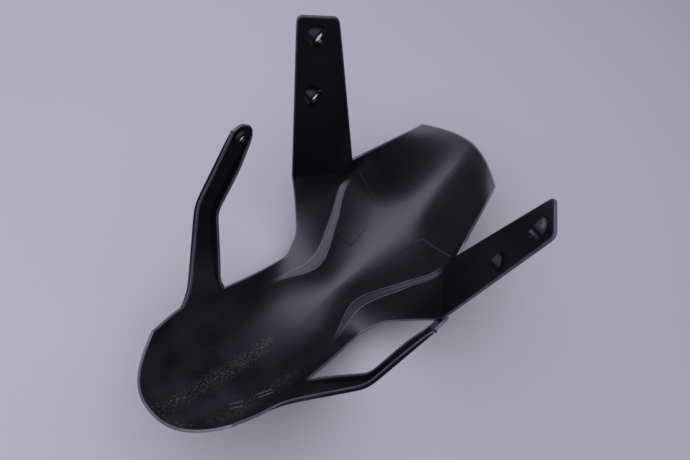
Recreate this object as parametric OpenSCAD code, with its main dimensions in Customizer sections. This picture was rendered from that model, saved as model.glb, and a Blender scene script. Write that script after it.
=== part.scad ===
// Front wheel fender moulded in one piece: an arched trough-shaped shell, two
// wide flat fork arms with two bosses each, and two narrow folded rear stays.
// It lies on its crown, inside up. Millimetres and degrees. X runs to the
// pointed front end, Y to the left, Z up. Angles along the shell are measured
// at the wheel axle line, from straight down, positive to the front.

/* [Wheel arc] */
// inner radius of the crown, measured from the wheel axle line
crown_r = 318; // [304:1:334]
// wall thickness of the moulding
wall = 3; // [2.4:0.1:4]
// how far the front end sits lower than the rear end as it lies
lie_pitch = 4.8; // [0:0.1:8]

/* [Rear end] */
// angle at which the side edge ends
tail_a = -47.5; // [-54:0.1:-45]
// how much further the middle of the rear end reaches
tail_bow = 6.9; // [2:0.1:8]
// half width at the rear corners
tail_hw = 66.6; // [56:0.1:76]
// depth of the trough at the rear corners
tail_depth = 35.6; // [22:0.1:40]
// how flat the crown stays before the sides turn up, rear part
tail_curl = 2.9; // [2:0.05:3.4]

/* [Stay roots] */
// angle of the rear side of a stay root
root_rear_a = -37.9; // [-41:0.1:-35]
// half width of the shell there
root_rear_hw = 76.8; // [70:0.1:88]
// trough depth there
root_rear_depth = 46.9; // [38:0.1:58]
// angle of the front side of a stay root
root_front_a = -23.6; // [-26:0.1:-20]
// half width of the shell there
root_front_hw = 76.7; // [70:0.1:88]
// trough depth there
root_front_depth = 47.3; // [36:0.1:56]

/* [Waist and arm panels] */
// angle of the inner corner between the shell edge and the arm panel
waist_a = -1.5; // [-5:0.1:1]
// half width at that corner
waist_hw = 73.9; // [70:0.1:86]
// trough depth at that corner
waist_depth = 27; // [20:0.1:34]
// angle where the rounded corner runs into the straight panel edge
flank_a = 4.4; // [3:0.1:6]
// half width there
flank_hw = 86.5; // [80:0.1:96]
// trough depth there
flank_depth = 42.4; // [32:0.1:46]

/* [Fork arms] */
// forward position of the rear end of the fold, from the axle line
fold_x = 55.5; // [48:0.1:64]
// half width at the rear end of the fold
fold_hw = 137; // [128:0.1:148]
// how far the fold lies below the axle line
fold_drop = 226; // [216:0.1:236]
// how far the front edge of an arm is turned inward
toe = 31.3; // [27:0.1:35]
// how far an arm leans outward
splay = 6.9; // [4:0.1:10]
// length of an arm along its rear edge
arm_len = 243.7; // [220:0.5:260]
// width of an arm at its free end
arm_tip_w = 44.6; // [36:0.1:50]
// how far the rear edge leans back over the arm length
arm_rake = 2.6; // [0:0.1:8]
// radius of the two corners at the free end
arm_corner_r = 6; // [3:0.1:10]
// how much further the rear corner of the free end reaches than the front one
arm_tip_skew = 3.5; // [0:0.1:5]
// distance along the arm of the notch between arm and front part
notch_up = 20.1; // [14:0.1:26]
// distance across the arm of that notch
notch_across = 82.7; // [76:0.1:90]
// how far the fold sags between its ends
fold_sag = 5; // [2:0.1:8]

/* [Front end] */
// angle at which the front side edge ends
nose_a = 51.7; // [48:0.1:56]
// how much further the middle of the front end reaches
nose_bow = 3.6; // [1.5:0.1:6]
// half width at the front corners
nose_hw = 67; // [58:0.1:76]
// trough depth at the front corners
nose_depth = 24; // [16:0.1:32]
// how keeled the crown is at the front end, one being a plain V
nose_keel = 1.3; // [1.1:0.05:2]
// angle over which the ribbed section turns into the plain one ahead of it
front_blend = 8; // [4:0.5:14]

/* [Pressed ribs] */
// angle of the rounded front end of a rib
rib_front_a = 26.5; // [24:0.1:28]
// half width at that end
rib_front_hw = 89; // [84:0.1:94]
// trough depth at that end
rib_front_depth = 43; // [38:0.1:48]
// angle of the knee where the rib turns to the rear
knee_a = 4; // [1:0.1:7]
// half width of the inner line at the knee
knee_hw = 35.5; // [31:0.1:40]
// trough depth at the knee
knee_depth = 18.2; // [14:0.1:22]
// angle of the rear point of a rib
rib_rear_a = -9; // [-12:0.1:-7]
// half width at that point
rib_rear_hw = 58; // [54:0.1:62]
// trough depth at that point
rib_rear_depth = 21.5; // [18:0.1:25]
// width of the rib where it starts at the front
rib_w = 7; // [5:0.1:9]
// width of the rib at the knee
knee_w = 14; // [10:0.1:17]
// how far the outer line of the rib is pressed down
rib_press = 4; // [1:0.1:6]

/* [Rear stays] */
// forward position of the fold on the rear edge of a stay
stay_bend_rear_x = -94.2; // [-100:0.1:-90]
// half width there
stay_bend_rear_hw = 135.7; // [126:0.1:140]
// drop below the axle line there
stay_bend_rear_drop = 141; // [128:0.1:144]
// forward position of the fold on the front edge
stay_bend_front_x = -76.7; // [-81:0.1:-72]
// half width there
stay_bend_front_hw = 132.3; // [125:0.1:136]
// drop below the axle line there
stay_bend_front_drop = 169.1; // [162:0.1:176]
// forward position of the tip hole
stay_hole_x = -23.2; // [-30:0.1:-20]
// half width of the stay at the hole
stay_hole_hw = 143.2; // [136:0.1:148]
// drop of the hole below the axle line
stay_hole_drop = 83.4; // [76:0.1:90]
// radius of the round tip
stay_tip_r = 16.2; // [14:0.1:18]
// length of the rounded corners at the root of a stay
root_blend = 28; // [14:0.1:34]
// height of the return flange on the front edge
flange_h = 7; // [4:0.1:9]
// height of the lip on the rear edge
lip_h = 3.4; // [2.6:0.1:5]
// length of the rounding of a stay's fold along its edges
bend_len = 11; // [6:0.5:16]

/* [Bosses] */
// bore of the four arm bosses
arm_bore = 12; // [8:0.1:13]
// outside diameter of an arm boss
arm_boss_d = 22; // [20:0.1:24]
// pocket in the outer face behind each seat
arm_pocket_d = 16.5; // [14:0.1:17]
// distance along the arm of the lower boss
boss_low = 140; // [130:0.1:150]
// distance between the two bosses
boss_pitch = 81; // [70:0.1:84]
// distance of the bosses from the rear edge
boss_inset = 21.4; // [19:0.1:24]
// thickness of a seat
seat_t = 4; // [3:0.1:5]
// bore of the stay boss
stay_bore = 10; // [7:0.1:11]
// outside diameter of a stay boss
stay_boss_d = 20; // [18:0.1:22]
// pocket in the outer face of a stay tip
stay_pocket_d = 14; // [12:0.1:15]
// how far a stay boss stands inward
stay_boss_h = 5; // [3:0.1:7]

/* [Hidden] */
$fn = 40;

// grid steps along the shell, from part to part
n_tail = 6;
n_root = 8;
n_waist = 7;
n_flank = 10;
n_fold = 9;
n_nose = 12;
i_root = n_tail;
i_root2 = i_root + n_root;
i_waist = i_root2 + n_waist;
i_fold = i_waist + n_flank;
i_notch = i_fold + n_fold;
n_sta = i_notch + n_nose;

// grid steps across one half: crown, rib, side panel
n_crown = 8;
n_panel = 4;
n_half = n_crown + 1 + n_panel;
n_row = 2 * n_half + 1;

// radius of the middle of the wall, which every point below lies on
mid_r = crown_r + wall / 2;

// arm frame: u across, v along, outward normal
arm_u = [cos(toe), -sin(toe), 0];
arm_v = [sin(toe) * sin(splay), cos(toe) * sin(splay), cos(splay)];
arm_n = [sin(toe) * cos(splay), cos(toe) * cos(splay), -sin(splay)];
arm_o = [fold_x, fold_hw, -fold_drop];

function arm_at(u, v) = arm_o + u * arm_u + v * arm_v;
function unit(v) = v / norm(v);
function mix(a, b, t) = a + (b - a) * t;
function ang(p) = atan2(p[0], -p[2]);
function cyl(a, hw, d) = [(mid_r - d) * sin(a), hw, -(mid_r - d) * cos(a)];
function mirror_y(p) = [p[0], -p[1], p[2]];

// smooth curve through named stations
function span(a, k, i = 0) = (i >= len(k) - 2 || a < k[i + 1]) ? i : span(a, k, i + 1);
function slope(k, v, i) =
    i == 0 ? (v[1] - v[0]) / (k[1] - k[0]) :
    i == len(k) - 1 ? (v[i] - v[i - 1]) / (k[i] - k[i - 1]) :
    (v[i + 1] - v[i - 1]) / (k[i + 1] - k[i - 1]);
function curve(a, k, v) =
    let (i = span(a, k), h = k[i + 1] - k[i], t = (a - k[i]) / h)
    (2 * t * t * t - 3 * t * t + 1) * v[i]
    + (t * t * t - 2 * t * t + t) * h * slope(k, v, i)
    + (3 * t * t - 2 * t * t * t) * v[i + 1]
    + (t * t * t - t * t) * h * slope(k, v, i + 1);

// fixed points of the side edge
nose_p = cyl(nose_a, nose_hw, nose_depth);
notch_p = arm_at(notch_across, notch_up);
fold_p = arm_o;

// the fold, straight at first and curving up to the notch
fold_ts = [0, 0.5, 0.8, 0.93, 1];
fold_vs = [0, -fold_sag, -fold_sag * 0.6, notch_up * 0.3, notch_up];
function fold_at(t) = arm_at(notch_across * t, curve(t, fold_ts, fold_vs));

edge_as = [tail_a, root_rear_a, root_front_a, waist_a];
edge_hws = [tail_hw, root_rear_hw, root_front_hw, waist_hw];
edge_ds = [tail_depth, root_rear_depth, root_front_depth, waist_depth];
fold_a = ang(fold_p);
fold_d = mid_r - norm([fold_p[0], fold_p[2]]);
near_flank = 0.15;
flank_as = [waist_a, flank_a, mix(flank_a, fold_a, near_flank), fold_a];
flank_hws = [waist_hw, flank_hw, mix(flank_hw, fold_hw, near_flank), fold_hw];
flank_ds = [waist_depth, flank_depth, mix(flank_depth, fold_d, near_flank), fold_d];

function rear_edge(a) = cyl(a, curve(a, edge_as, edge_hws), curve(a, edge_as, edge_ds));
function flank_t(t) = waist_a + (fold_a - waist_a) * t;
function flank_edge(a) = cyl(a, curve(a, flank_as, flank_hws), curve(a, flank_as, flank_ds));

// left side edge at station i
function edge(i) =
    i <= i_root ? rear_edge(mix(tail_a, root_rear_a, i / n_tail)) :
    i <= i_root2 ? rear_edge(mix(root_rear_a, root_front_a, (i - i_root) / n_root)) :
    i <= i_waist ? rear_edge(mix(root_front_a, waist_a, (i - i_root2) / n_waist)) :
    i <= i_fold ? flank_edge(flank_t((i - i_waist) / n_flank)) :
    i <= i_notch ? fold_at((i - i_fold) / n_fold) :
    mix(notch_p, nose_p, (i - i_notch) / n_nose);
edges = [for (i = [0 : n_sta]) edge(i)];
edge_a = [for (p = edges) ang(p)];
edge_d = [for (p = edges) mid_r - norm([p[0], p[2]])];

// inner and outer line of the rib, and the same turning line beyond the rib
line_as = [tail_a, root_rear_a, root_front_a, rib_rear_a, knee_a, (knee_a + rib_front_a) / 2,
    rib_front_a, nose_a];
mid_hw = (knee_hw + rib_front_hw) / 2;
line_hws = [tail_hw * 0.78, root_rear_hw * 0.77, root_front_hw * 0.78, rib_rear_hw, knee_hw, mid_hw,
    rib_front_hw, nose_hw * 0.8];
line_ds = [tail_depth * 0.49, root_rear_depth * 0.47, root_front_depth * 0.5, rib_rear_depth,
    knee_depth, (knee_depth + rib_front_depth) / 2, rib_front_depth, nose_depth * 0.68];
wide_as = [rib_rear_a, knee_a, (knee_a + rib_front_a) / 2, rib_front_a];
wide_ws = [0.6, knee_w, (knee_w + rib_w) / 2, rib_w];
rib_taper = 3;
function line_hw(a) = curve(a, line_as, line_hws);
function line_d(a) = curve(a, line_as, line_ds);
function rib_on(a) = a <= rib_rear_a ? 0 : a >= rib_front_a ? 0 :
    min(1, (a - rib_rear_a) / rib_taper) * min(1, sqrt((rib_front_a - a) / 2));
function rib_width(a) = a <= rib_rear_a || a >= rib_front_a ? 0.6 :
    max(0.6, curve(a, wide_as, wide_ws) * min(1, sqrt((rib_front_a - a) / 2)));

crown_as = [tail_a, root_front_a, rib_rear_a, rib_front_a, nose_a];
crown_ps = [tail_curl, 2.5, 2, 1.75, nose_keel];
function crown_pow(a) = curve(a, crown_as, crown_ps);

// ahead of the ribs the crown runs up to the side edge in one curve
function plain_on(a) =
    let (t = max(0, min(1, (a - rib_front_a) / front_blend))) t * t * (3 - 2 * t);

// section at station i: half width and depth of point c of one half
function sec(i, c) =
    let (
        s = ribbed(i, c),
        a = edge_a[i],
        plain = edge_d[i] * pow(s[0] / edges[i][1], crown_pow(a))
    )
    [s[0], mix(s[1], plain, plain_on(a))];
function ribbed(i, c) =
    let (
        a = edge_a[i],
        e = [edges[i][1], edge_d[i]],
        q = [min(line_hw(a), e[0] * 0.93), line_d(a)],
        p = crown_pow(a),
        m = q[1] * p / q[0],
        w = rib_width(a),
        r = [q[0] + w, q[1] + m * w * (1 - rib_on(a)) - rib_press * rib_on(a) * 0.2],
        t = (c - n_crown - 1) / n_panel,
        g = [mix(r[0], e[0], 0.5), r[1] + min(m, (e[1] - r[1]) / (e[0] - r[0])) * (e[0] - r[0]) * 0.5]
    )
    c <= n_crown ? [q[0] * c / n_crown, q[1] * pow(c / n_crown, p)] :
    c == n_crown + 1 ? r :
    c == n_half ? e :
    mix(mix(r, g, t), mix(g, e, t), t);

function bow(i) =
    i < i_root ? tail_bow * pow(1 - i / i_root, 2) * -1 :
    i > i_notch ? nose_bow * pow((i - i_notch) / n_nose, 2) : 0;
function shell_pt(i, j) =
    let (
        c = abs(j - n_half),
        s = sec(i, c),
        w = s[0] / edges[i][1],
        a = edge_a[i] + bow(i) * (1 - w * w)
    )
    cyl(a, s[0] * (j < n_half ? 1 : -1), s[1]);
shell = [for (i = [0 : n_sta]) for (j = [0 : n_row - 1]) shell_pt(i, j)];
function si(i, j) = i * n_row + j;

// left arm grid above the fold
arm_vs = [0.04, 0.12, 0.22, 0.34, 0.46, 0.58, 0.7, 0.82, 0.92, 1];
n_arm = len(arm_vs) + 3;
function arm_side(k) =
    k <= len(arm_vs) - 1 ? (arm_len - arm_corner_r) * arm_vs[k] :
    arm_len - arm_corner_r + arm_corner_r * sin(30 * (k - len(arm_vs) + 1));
function arm_cut(v) =
    let (s = max(0, v - (arm_len - arm_corner_r)))
    arm_corner_r - sqrt(max(0, arm_corner_r * arm_corner_r - s * s));
function arm_rear(v) = -arm_rake * v / arm_len + arm_cut(v);
function arm_front(v) =
    mix(notch_across, arm_tip_w - arm_rake, (v - notch_up) / (arm_len - notch_up)) - arm_cut(v);
function arm_pt(k, c) =
    let (
        v0 = arm_side(k),
        t = c / n_fold,
        base = edges[i_fold + c],
        bu = (base - arm_o) * arm_u,
        bv = (base - arm_o) * arm_v,
        v = bv + (v0 / arm_len) * (arm_len - bv),
        u = mix(arm_rear(v), arm_front(v), t),
        f = min(1, (v - bv) / 60)
    )
    arm_at(mix(bu + (arm_rear(v) - arm_rear(bv)) * (1 - t)
        + (arm_front(v) - arm_front(bv)) * t, u, f),
        v + arm_tip_skew * (0.5 - t) * pow(max(0, v / arm_len), 4));
arm = [for (k = [0 : n_arm - 1]) for (c = [0 : n_fold]) arm_pt(k, c)];

// left stay grid: rear and front edge of each row
bend_r = [stay_bend_rear_x, stay_bend_rear_hw, -stay_bend_rear_drop];
bend_f = [stay_bend_front_x, stay_bend_front_hw, -stay_bend_front_drop];
hole_p = [stay_hole_x, stay_hole_hw, -stay_hole_drop];
root_r = edges[i_root];
root_f = edges[i_root2];
stay_mid = (bend_r + bend_f) / 2;
stay_dir = unit(hole_p - stay_mid);
stay_wid0 = bend_f - bend_r;
stay_wid = unit(stay_wid0 - (stay_wid0 * stay_dir) * stay_dir);
end_r = hole_p - stay_tip_r * stay_wid;
end_f = hole_p + stay_tip_r * stay_wid;
side_in = unit(root_f - root_r);
foot_r = root_r + side_in * root_blend * 0.3;
foot_f = root_f - side_in * root_blend * 0.45;
stay_us = [0.04, 0.09, 0.15, 0.22, 0.36, 0.52, 0.68, 0.84, 0.93, 1.01, 1.1, 1.22, 1.4, 1.6, 1.8, 2];
tip_as = [18, 36, 54, 70];
n_len = len(stay_us);
n_stay = n_len + len(tip_as);
function settle(t) = let (s = min(1, t / 0.25)) s * (2 - s);
// along one edge of a stay, the fold at one and the round tip from two on
function along(a, b, c, u) =
    let (lo = 1 - bend_len / norm(b - a), hi = 1 + bend_len / norm(c - b), t = (u - lo) / (hi - lo))
    u <= lo ? mix(a, b, u) : u >= hi ? mix(b, c, u - 1) :
    mix(mix(mix(a, b, lo), b, t), mix(b, mix(b, c, hi - 1), t), t);
function tip_pt(k, side) =
    let (a = tip_as[k - n_len])
    hole_p + side * stay_tip_r * cos(a) * stay_wid + stay_tip_r * sin(a) * stay_dir;
function stay_rear(k) =
    k < n_len ? let (u = stay_us[k]) along(mix(root_r, foot_r, settle(u)), bend_r, end_r, u) :
    tip_pt(k, -1);
function stay_front(k) =
    k < n_len ? let (u = stay_us[k]) along(mix(root_f, foot_f, settle(u)), bend_f, end_f, u) :
    tip_pt(k, 1);
stay_l = [for (k = [0 : n_stay - 1]) stay_rear(k)];
stay_f = [for (k = [0 : n_stay - 1]) stay_front(k)];
function stay_pt(k, c) =
    let (
        t = c / n_root,
        flat = mix(stay_l[k], stay_f[k], t),
        fade = k < n_len ? pow(1 - min(1, stay_us[k] / 0.3), 2) : 0,
        chord = mix(root_r, root_f, t)
    )
    flat + (edges[i_root + c] - chord) * fade;
stay = [for (k = [0 : n_stay - 1]) for (c = [0 : n_root]) stay_pt(k, c)];

// flange along the front edge of a stay and lip along its rear edge, rows 1 to n_len,
// as high as the wall allows where they start and end
fold_min = wall * 0.75;
function rise(k) = min(1, (k - 1) / 4, (n_len - k) / 2);
function fold_h(k, h) = fold_min + (h - fold_min) * rise(k);
function fold_dir(k, side) = side * unit(stay_f[k - 1] - stay_l[k - 1]);
function fold_pt(k, side, h) =
    (side > 0 ? stay_f[k - 1] : stay_l[k - 1]) - stay_n(k, side > 0 ? n_root : 0) * fold_h(k, h);
folds = concat(
    [for (k = [1 : n_len]) fold_pt(k, 1, flange_h)],
    [for (k = [1 : n_len]) fold_pt(k, -1, lip_h)]);

// every point: shell, left arm, right arm, left stay, right stay
o_arm_l = len(shell);
o_arm_r = o_arm_l + len(arm);
o_stay_l = o_arm_r + len(arm);
o_stay_r = o_stay_l + len(stay);
o_fold_l = o_stay_r + len(stay);
o_fold_r = o_fold_l + 2 * n_len;
mids = concat(shell, arm, [for (p = arm) mirror_y(p)], stay, [for (p = stay) mirror_y(p)],
    folds, [for (p = folds) mirror_y(p)]);
n_in = len(mids);

// point numbers, row zero of an arm or stay being the shell edge
function al(k, c) = k == 0 ? si(i_fold + c, 0) : o_arm_l + (k - 1) * (n_fold + 1) + c;
function ar(k, c) = k == 0 ? si(i_fold + c, n_row - 1) : o_arm_r + (k - 1) * (n_fold + 1) + c;
function sl(k, c) = k == 0 ? si(i_root + c, 0) : o_stay_l + (k - 1) * (n_root + 1) + c;
function sr(k, c) = k == 0 ? si(i_root + c, n_row - 1) : o_stay_r + (k - 1) * (n_root + 1) + c;

// rows of the flange and the lip, which start and end on the edge itself
function fl(k) = k < 1 || k > n_len ? sl(k, n_root) : o_fold_l + k - 1;
function fr(k) = k < 1 || k > n_len ? sr(k, n_root) : o_fold_r + k - 1;
function ll(k) = k < 1 || k > n_len ? sl(k, 0) : o_fold_l + n_len + k - 1;
function lr(k) = k < 1 || k > n_len ? sr(k, 0) : o_fold_r + n_len + k - 1;

// outward normals
function nrm(a, b) = unit(cross(a, b));
function shell_n(i, j) =
    let (
        i0 = max(0, i - 1), i1 = min(n_sta, i + 1),
        j0 = max(0, j - 1), j1 = min(n_row - 1, j + 1)
    )
    nrm(shell[si(i, j0)] - shell[si(i, j1)], shell[si(i1, j)] - shell[si(i0, j)]);
function stay_at(k, c) = k == 0 ? edges[i_root + c] : stay[(k - 1) * (n_root + 1) + c];
function stay_n(k, c) =
    let (
        k0 = max(0, k - 1), k1 = min(n_stay, k + 1),
        c0 = max(0, c - 1), c1 = min(n_root, c + 1),
        n = nrm(stay_at(k1, c) - stay_at(k0, c), stay_at(k, c1) - stay_at(k, c0))
    )
    n[1] < 0 ? -n : n;
// at a fold the offset is lengthened so that both faces keep the wall
function miter(a, b) =
    let (m = unit(a + b))
    m / max(0.8, m * a);
function edge_n(i, j) =
    let (n = shell_n(i, j), s = j == 0 ? 1 : -1, f = [1, s, 1])
    i >= i_fold && i <= i_notch ? miter(n, [arm_n[0], arm_n[1] * s, arm_n[2]]) :
    i >= i_root && i <= i_root2 ?
        let (q = stay_n(1, i - i_root)) miter(n, [q[0], q[1] * s, q[2]]) : n;
function stay_nn(k, c) =
    k > n_len || (c > 0 && c < n_root) ? stay_n(k, c) :
    miter(stay_n(k, c), fold_dir(k, c == 0 ? -1 : 1));
fold_ns = concat(
    [for (k = [1 : n_len]) fold_dir(k, 1)],
    [for (k = [1 : n_len]) fold_dir(k, -1)]);
normals = concat(
    [for (i = [0 : n_sta]) for (j = [0 : n_row - 1])
        j == 0 || j == n_row - 1 ? edge_n(i, j) : shell_n(i, j)],
    [for (p = arm) arm_n],
    [for (p = arm) mirror_y(arm_n)],
    [for (k = [1 : n_stay]) for (c = [0 : n_root]) stay_nn(k, c)],
    [for (k = [1 : n_stay]) for (c = [0 : n_root]) mirror_y(stay_nn(k, c))],
    fold_ns,
    [for (n = fold_ns) mirror_y(n)]);

// cells as quads of point numbers
cells = concat(
    [for (i = [0 : n_sta - 1]) for (j = [0 : n_row - 2])
        [si(i, j), si(i + 1, j), si(i + 1, j + 1), si(i, j + 1)]],
    [for (k = [0 : n_arm - 1]) for (c = [0 : n_fold - 1])
        [al(k, c), al(k + 1, c), al(k + 1, c + 1), al(k, c + 1)]],
    [for (k = [0 : n_arm - 1]) for (c = [0 : n_fold - 1])
        [ar(k, c), ar(k, c + 1), ar(k + 1, c + 1), ar(k + 1, c)]],
    [for (k = [0 : n_stay - 1]) for (c = [0 : n_root - 1])
        [sl(k, c), sl(k + 1, c), sl(k + 1, c + 1), sl(k, c + 1)]],
    [for (k = [0 : n_stay - 1]) for (c = [0 : n_root - 1])
        [sr(k, c), sr(k, c + 1), sr(k + 1, c + 1), sr(k + 1, c)]],
    [for (k = [0 : n_len]) for (q = [
        [sl(k, n_root), sl(k + 1, n_root), fl(k + 1), fl(k)],
        [ll(k), ll(k + 1), sl(k + 1, 0), sl(k, 0)],
        [fr(k), fr(k + 1), sr(k + 1, n_root), sr(k, n_root)],
        [sr(k, 0), sr(k + 1, 0), lr(k + 1), lr(k)]]) q]);

// the rim once round the part, left side first
rim = concat(
    [for (i = [0 : i_root - 1]) si(i, 0)],
    [for (k = [0 : n_stay - 1]) ll(k)],
    [for (c = [0 : n_root]) sl(n_stay, c)],
    [for (k = [n_stay - 1 : -1 : 0]) fl(k)],
    [for (i = [i_root2 + 1 : i_fold - 1]) si(i, 0)],
    [for (k = [0 : n_arm - 1]) al(k, 0)],
    [for (c = [0 : n_fold]) al(n_arm, c)],
    [for (k = [n_arm - 1 : -1 : 0]) al(k, n_fold)],
    [for (i = [i_notch + 1 : n_sta]) si(i, 0)],
    [for (j = [1 : n_row - 2]) si(n_sta, j)],
    [for (i = [n_sta : -1 : i_notch + 1]) si(i, n_row - 1)],
    [for (k = [0 : n_arm - 1]) ar(k, n_fold)],
    [for (c = [n_fold : -1 : 0]) ar(n_arm, c)],
    [for (k = [n_arm - 1 : -1 : 0]) ar(k, 0)],
    [for (i = [i_fold - 1 : -1 : i_root2 + 1]) si(i, n_row - 1)],
    [for (k = [0 : n_stay - 1]) fr(k)],
    [for (c = [n_root : -1 : 0]) sr(n_stay, c)],
    [for (k = [n_stay - 1 : -1 : 0]) lr(k)],
    [for (i = [i_root - 1 : -1 : 0]) si(i, n_row - 1)],
    [for (j = [n_row - 2 : -1 : 1]) si(0, j)]);
n_rim = len(rim);
// rounding of the rim, bulging out between the two faces
rim_bulge = 0.34;
rim_out = [for (m = [0 : n_rim - 1])
    let (
        t = mids[rim[(m + 1) % n_rim]] - mids[rim[(m + n_rim - 1) % n_rim]],
        n = normals[rim[m]]
    )
    unit(cross(n, t))];
function rim_layer(h) = [for (m = [0 : n_rim - 1])
    mids[rim[m]] + normals[rim[m]] * wall * (h - 0.5) + rim_out[m] * wall * rim_bulge];
sheet_points = concat(
    [for (m = [0 : n_in - 1]) mids[m] - normals[m] * wall / 2],
    [for (m = [0 : n_in - 1]) mids[m] + normals[m] * wall / 2],
    rim_layer(0.22), rim_layer(0.78));
o_r1 = 2 * n_in;
o_r2 = o_r1 + n_rim;
tris = [for (q = cells) for (t = [[q[0], q[1], q[2]], [q[0], q[2], q[3]]])
    if (t[0] != t[1] && t[1] != t[2] && t[2] != t[0]) t];
sheet_faces = concat(
    tris,
    [for (t = tris) [t[2] + n_in, t[1] + n_in, t[0] + n_in]],
    [for (m = [0 : n_rim - 1]) let (n = (m + 1) % n_rim) [rim[n], rim[m], o_r1 + m]],
    [for (m = [0 : n_rim - 1]) let (n = (m + 1) % n_rim) [rim[n], o_r1 + m, o_r1 + n]],
    [for (m = [0 : n_rim - 1]) let (n = (m + 1) % n_rim) [o_r1 + n, o_r1 + m, o_r2 + m]],
    [for (m = [0 : n_rim - 1]) let (n = (m + 1) % n_rim) [o_r1 + n, o_r2 + m, o_r2 + n]],
    [for (m = [0 : n_rim - 1]) let (n = (m + 1) % n_rim) [o_r2 + n, o_r2 + m, rim[m] + n_in]],
    [for (m = [0 : n_rim - 1]) let (n = (m + 1) % n_rim)
        [o_r2 + n, rim[m] + n_in, rim[n] + n_in]]);

// the bosses stand square to the axle direction, so their seats are level
// with each other left and right although arms and stays are set at an angle
function boss_p(v) = arm_at(arm_rear(v) + boss_inset, v);
boss_stand = arm_boss_d / 2 * tan(toe) * 0.94;
// long enough to pass through a slanted wall from the seat outward
boss_out = 2 * arm_boss_d;
boss_draft = arm_boss_d / 11;
// half space that keeps a boss from standing out of the outer face
cut_span = 2 * arm_len;
cut_in = wall * 0.6;
stay_out_n = stay_n(n_len - 2, n_root / 2);

module sheet() {
    polyhedron(points = sheet_points, faces = sheet_faces, convexity = 12);
}

// axis along Y, starting at the inner face and running outward
module along_y(p) {
    translate(p) rotate([-90, 0, 0]) children();
}

// everything on the outer side of the middle of an arm wall
module arm_outside() {
    multmatrix([
        [arm_u[0], arm_n[0], arm_v[0], arm_o[0]],
        [arm_u[1], arm_n[1], arm_v[1], arm_o[1]],
        [arm_u[2], arm_n[2], arm_v[2], arm_o[2]],
        [0, 0, 0, 1]
    ])
        translate([-cut_span / 2, cut_in, -cut_span / 2])
            cube([cut_span, cut_span, 2 * cut_span]);
}

module stay_outside() {
    translate(hole_p + stay_out_n * cut_in)
        rotate([0, 0, atan2(stay_out_n[1], stay_out_n[0])])
            rotate([0, acos(stay_out_n[2]), 0])
                cylinder(h = boss_out, r = cut_span / 4);
}

module arm_boss(v) {
    p = boss_p(v);
    difference() {
        along_y([p[0], p[1] - boss_stand, p[2]])
            cylinder(h = boss_out, d1 = arm_boss_d - boss_draft / 2, d2 = arm_boss_d + 1.5 * boss_draft);
        arm_outside();
    }
}

module arm_hole(v) {
    p = boss_p(v);
    along_y([p[0], p[1] - boss_stand - wall, p[2]]) cylinder(h = boss_out, d = arm_bore);
    along_y([p[0], p[1] - boss_stand + seat_t, p[2]]) cylinder(h = boss_out, d = arm_pocket_d);
}

module stay_boss() {
    difference() {
        along_y([hole_p[0], hole_p[1] - stay_boss_h, hole_p[2]])
            cylinder(h = boss_out / 2, d = stay_boss_d);
        stay_outside();
    }
}

module stay_hole() {
    along_y([hole_p[0], hole_p[1] - stay_boss_h - wall, hole_p[2]])
        cylinder(h = boss_out, d = stay_bore);
    along_y([hole_p[0], hole_p[1] - stay_boss_h + seat_t, hole_p[2]])
        cylinder(h = boss_out, d = stay_pocket_d);
}

module left_bosses() {
    arm_boss(boss_low);
    arm_boss(boss_low + boss_pitch);
    stay_boss();
}

module left_holes() {
    arm_hole(boss_low);
    arm_hole(boss_low + boss_pitch);
    stay_hole();
}

// lies on the crown, the middle of its length over the origin
nose_tip_a = nose_a + nose_bow;
tail_tip_a = tail_a - tail_bow;
reach_f = sin(nose_tip_a - lie_pitch) * (crown_r + wall);
reach_r = sin(tail_tip_a - lie_pitch) * (crown_r + wall);
lie_shift = -(reach_f + reach_r) / 2;

module lying() {
    translate([lie_shift, 0, crown_r + wall]) rotate([0, lie_pitch, 0]) children();
}

module fender() {
    color([0.12, 0.12, 0.13])
        lying()
            difference() {
                union() {
                    sheet();
                    left_bosses();
                    mirror([0, 1, 0]) left_bosses();
                }
                left_holes();
                mirror([0, 1, 0]) left_holes();
            }
}

fender();
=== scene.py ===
"""Looks of a black moulded front wheel fender that lies on its crown, inside up.

The part is one moulding: a trough-shaped shell bent round the wheel, two flat
fork arms with two bosses each, and two folded rear stays with a boss at the tip.
Shapes are worked out in millimetres round the wheel's axle line (X forward, Y to
the left, Z up), laid down on the floor, and turned to metres in the mesh.
"""
import logging
import math
from dataclasses import dataclass
from enum import Enum

import bmesh
import bpy
import numpy as np
from mathutils import Matrix, Vector
from mathutils.kdtree import KDTree


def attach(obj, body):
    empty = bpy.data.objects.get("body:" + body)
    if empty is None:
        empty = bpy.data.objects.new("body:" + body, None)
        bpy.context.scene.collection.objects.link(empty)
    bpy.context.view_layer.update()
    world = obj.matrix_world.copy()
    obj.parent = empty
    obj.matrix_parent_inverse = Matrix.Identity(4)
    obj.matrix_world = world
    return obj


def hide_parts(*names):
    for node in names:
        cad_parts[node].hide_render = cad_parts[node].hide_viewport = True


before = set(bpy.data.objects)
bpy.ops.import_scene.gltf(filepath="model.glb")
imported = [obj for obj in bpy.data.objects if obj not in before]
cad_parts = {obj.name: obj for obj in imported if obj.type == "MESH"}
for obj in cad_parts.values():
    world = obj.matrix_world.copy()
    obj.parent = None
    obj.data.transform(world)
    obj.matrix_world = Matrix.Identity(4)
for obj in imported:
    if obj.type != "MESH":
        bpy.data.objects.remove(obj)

LOG = logging.getLogger("fender")
MM = 0.001
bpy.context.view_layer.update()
NODE = "fender"
BODY = "root"


class Side(Enum):
    """The two mirrored halves of the part."""

    LEFT = 1
    RIGHT = -1


def unit(vector: np.ndarray) -> np.ndarray:
    """Returns the vector at length one."""
    return vector / np.linalg.norm(vector)


def mix(start, end, share: float):
    """Returns the value at a share of the way from start to end."""
    return start + (end - start) * share


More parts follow.
